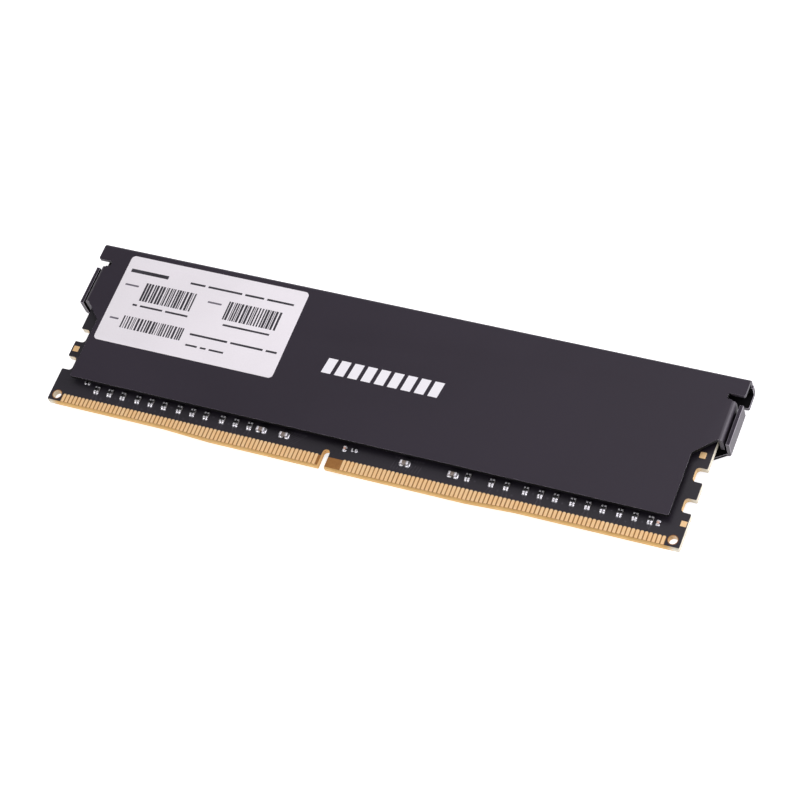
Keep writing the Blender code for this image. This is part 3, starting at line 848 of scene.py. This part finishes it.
def ink_rings(left, right, bottom, top, z, slant=0.0):
    """Thin inked blocks, one for each value of the arrays, from left to right and bottom to top."""
    left, right, bottom, top = np.broadcast_arrays(left, right, bottom, top)
    x = np.stack([left, right, right + slant, left + slant], -1)
    y = np.stack([bottom, bottom, top, top], -1)
    flat = np.stack([x, y], -1)[:, None].repeat(2, axis=1)
    high_z = np.array([z, z + INK])[None, :, None, None] + 0 * flat[..., :1]
    return np.concatenate([flat, high_z], -1)


def bar_block(start, end, chance):
    """Bars of random width: inked runs of one to three modules, with gaps of one or two."""
    most = int((end - start) / BAR_MODULE / 2)
    inked = chance.integers(1, 4, most) * BAR_MODULE
    gaps = chance.integers(1, 3, most) * BAR_MODULE
    left = start + np.concatenate([[0.0], np.cumsum(inked + gaps)[:-1]])
    fits = left + inked < end
    return left[fits], (left + inked)[fits]


def dashes(start, end, shares):
    """A line of print as plain dashes, which share out the length less the gaps between them."""
    shares = np.array(shares, float)
    room = (end - start) - DASH_GAP * (len(shares) - 1)
    lengths = shares / shares.sum() * room
    left = start + np.concatenate([[0.0], np.cumsum(lengths + DASH_GAP)[:-1]])
    return left, left + lengths


def make_label_print():
    """Generic print: blocks of bars and rows of dashes, with no lettering."""
    corner = low("circuit_board")
    z = low("label")[2] + LABEL_THICKNESS - 0.001
    chance = np.random.default_rng(4)
    dark, pale = [], []
    for start, end, bottom, top in BAR_BLOCKS:
        left, right = bar_block(start, end, chance)
        dark.append(ink_rings(corner[0] + left, corner[0] + right, corner[1] + bottom, corner[1] + top, z))
    for table, rows in ((DARK_ROWS, dark), (PALE_ROWS, pale)):
        for start, end, height, thick, shares in table:
            left, right = dashes(start, end, shares)
            y = corner[1] + height
            rows.append(ink_rings(corner[0] + left, corner[0] + right, y - thick / 2, y + thick / 2, z))
    piece("label_print", surface(np.concatenate(dark)), FINISH["ink"])
    piece("label_pale_print", surface(np.concatenate(pale)), FINISH["pale_ink"])


def make_motif():
    """A row of equal slanted bars printed on the upper spreader."""
    step = np.arange(MOTIF_BARS) - (MOTIF_BARS - 1) / 2
    centre = MOTIF_CENTRE[0] + step * MOTIF_PITCH - MOTIF_SLANT / 2
    bottom, top = MOTIF_CENTRE[1] - MOTIF_HEIGHT / 2, MOTIF_CENTRE[1] + MOTIF_HEIGHT / 2
    z = high("heat_spreader_upper")[2]
    rings = ink_rings(centre - MOTIF_WIDTH / 2, centre + MOTIF_WIDTH / 2, bottom, top, z, MOTIF_SLANT)
    piece("printed_bars", surface(rings), FINISH["print"])


def make_spreaders():
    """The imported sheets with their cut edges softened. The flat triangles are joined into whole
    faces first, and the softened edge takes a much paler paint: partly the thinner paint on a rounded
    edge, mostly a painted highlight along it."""
    for name in named("heat_spreader_"):
        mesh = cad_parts[name].data.copy()
        mesh.name = name + "_sheet"
        shape = bmesh.new()
        shape.from_mesh(mesh)
        bmesh.ops.remove_doubles(shape, verts=shape.verts, dist=MERGE_DISTANCE)
        flat = radians(FLAT_ANGLE)
        bmesh.ops.dissolve_limit(shape, angle_limit=flat, verts=shape.verts, edges=shape.edges)
        shape.to_mesh(mesh)
        shape.free()
        mesh.materials.clear()
        for finish in ("paint", "edge", "painted_shade", "flange"):  # numbered 0 to 3
            mesh.materials.append(FINISH[finish])
        dress_sheet(mesh, "upper" in name)
        mesh.shade_smooth()
        mesh.set_sharp_from_angle(angle=radians(SHARP_ANGLE))
        obj = bpy.data.objects.new(name + "_sheet", mesh)
        join_module(obj, [name])
        soften = obj.modifiers.new("soften", "BEVEL")
        soften.width = SHEET_EDGE_ROUND * MM
        soften.segments = 2
        soften.limit_method = "ANGLE"
        soften.angle_limit = radians(CUT_ANGLE)
        soften.harden_normals = True
        # the rounded edges take finish 1, the pale paint that paints a highlight along them
        soften.material = 1


def dress_sheet(mesh, upper):
    """Gives each face of a spreader its finish: 0 for the outside; 2, a near-black painted shade, for the
    faces that look into the spreader and the plate's cut edges, which lie in shade; 3, a paler paint that
    paints the light falling on them, for the end flanges' outsides and ends."""
    count = len(mesh.polygons)
    centre, normal = np.empty(count * 3), np.empty(count * 3)
    mesh.polygons.foreach_get("center", centre)
    mesh.polygons.foreach_get("normal", normal)
    centre, normal = centre.reshape(-1, 3) / MM, normal.reshape(-1, 3)
    outward = 1.0 if upper else -1.0
    outer_z = (high("heat_spreader_upper") if upper else low("heat_spreader_lower"))[2]
    beside_plate = np.abs(centre[:, 2] - outer_z) < PLATE_DEPTH
    near_top = centre[:, 1] > high("heat_spreader_upper")[1] - INSIDE_REACH
    along = np.abs(centre[:, 0])
    turned_out = (normal[:, 0] * np.sign(centre[:, 0]) > 0.1) | (normal[:, 1] < -0.5)
    # the end flanges' outsides and ends, which take the paler paint as painted light
    at_flange = (along > FLANGE_START) & ~near_top & turned_out
    # faces that take the painted shade: those that look into the spreader, the flanges' inward faces and
    # the plate's cut edges
    shaded_faces = beside_plate & (normal[:, 2] * outward < -0.5)
    shaded_faces |= normal[:, 0] * np.sign(centre[:, 0]) < -0.9
    shaded_faces |= near_top & (normal[:, 1] < -0.9)
    shaded_faces |= beside_plate & (np.abs(normal[:, 2]) < 0.1) & (along < FLANGE_START) & (normal[:, 1] < 0.5)
    finish = np.where(shaded_faces, 2, np.where(at_flange, 3, 0))
    mesh.polygons.foreach_set("material_index", finish.astype(np.int32))


def dress_frame():
    """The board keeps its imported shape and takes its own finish."""
    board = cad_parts["circuit_board"]
    board.data.materials.clear()
    board.data.materials.append(FINISH["board"])


# ---------------------------------------------------------------- studio

def make_camera():
    """A long lens, turned about its own line of sight by the roll."""
    camera = bpy.data.cameras.new("camera")
    camera.lens = CAMERA_LENS
    camera.sensor_width = 36.0
    camera.clip_start = 0.01
    obj = bpy.data.objects.new("camera", camera)
    place, aim = Vector(CAMERA_PLACE) * MM, Vector(CAMERA_AIM) * MM
    look = (aim - place).to_track_quat("-Z", "Y").to_matrix().to_4x4()
    obj.matrix_world = Matrix.Translation(place) @ look @ Matrix.Rotation(radians(CAMERA_ROLL), 4, "Z")
    bpy.context.scene.collection.objects.link(obj)
    bpy.context.scene.camera = obj


def make_floor():
    """A plain pale floor that glows a little, so that it stays even and nearly white."""
    mesh = bpy.data.meshes.new("floor")
    signs = ((-1, -1), (1, -1), (1, 1), (-1, 1))
    corners = [(x * FLOOR_HALF, y * FLOOR_HALF, -FLOOR_DROP) for x, y in signs]
    mesh.from_pydata(corners, [], [(0, 1, 2, 3)])
    finish = bpy.data.materials.new("pale_floor")
    finish.use_nodes = True
    shader = finish.node_tree.nodes["Principled BSDF"]
    shader.inputs["Base Color"].default_value = (0.9, 0.9, 0.9, 1.0)
    shader.inputs["Roughness"].default_value = 0.9
    shader.inputs["Specular IOR Level"].default_value = 0.1
    shader.inputs["Emission Color"].default_value = (1.0, 1.0, 1.0, 1.0)
    shader.inputs["Emission Strength"].default_value = FLOOR_GLOW
    mesh.materials.append(finish)
    obj = bpy.data.objects.new("floor", mesh)
    bpy.context.scene.collection.objects.link(obj)


def softbox(name, place, width, height, power):
    """A rectangular light that faces the middle of the module."""
    light = bpy.data.lights.new(name, "AREA")
    light.shape = "RECTANGLE"
    light.size, light.size_y = width, height
    light.energy = power
    light.color = LIGHT_TINT
    obj = bpy.data.objects.new(name, light)
    obj.location = place
    obj.rotation_euler = (-Vector(place)).to_track_quat("-Z", "Y").to_euler()
    bpy.context.scene.collection.objects.link(obj)


def make_lights():
    """The pale room and the softboxes."""
    world = bpy.data.worlds.new("studio")
    world.use_nodes = True
    world.node_tree.nodes["Background"].inputs["Color"].default_value = (1.0, 1.0, 1.0, 1.0)
    world.node_tree.nodes["Background"].inputs["Strength"].default_value = ROOM_LIGHT
    bpy.context.scene.world = world
    bpy.context.scene.view_settings.view_transform = "Standard"
    for values in SOFTBOXES:
        softbox(*values)


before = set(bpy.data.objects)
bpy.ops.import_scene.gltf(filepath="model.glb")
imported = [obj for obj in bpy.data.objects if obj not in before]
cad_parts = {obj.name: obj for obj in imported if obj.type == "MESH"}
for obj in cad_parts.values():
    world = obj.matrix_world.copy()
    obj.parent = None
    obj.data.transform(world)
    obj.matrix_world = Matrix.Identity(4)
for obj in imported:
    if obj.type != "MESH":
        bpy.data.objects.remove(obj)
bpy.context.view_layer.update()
GRAIN = grain_group()
WEAVE = weave_group()
WIPE = wipe_group()
FINISH = make_materials()

make_camera()
make_floor()
make_lights()
dress_frame()
make_contacts()
make_test_squares()
make_resistor_arrays()
make_chip_parts()
make_chips()
make_thermal_pads()
make_traces()
make_spreaders()
make_label()
make_label_print()
make_motif()
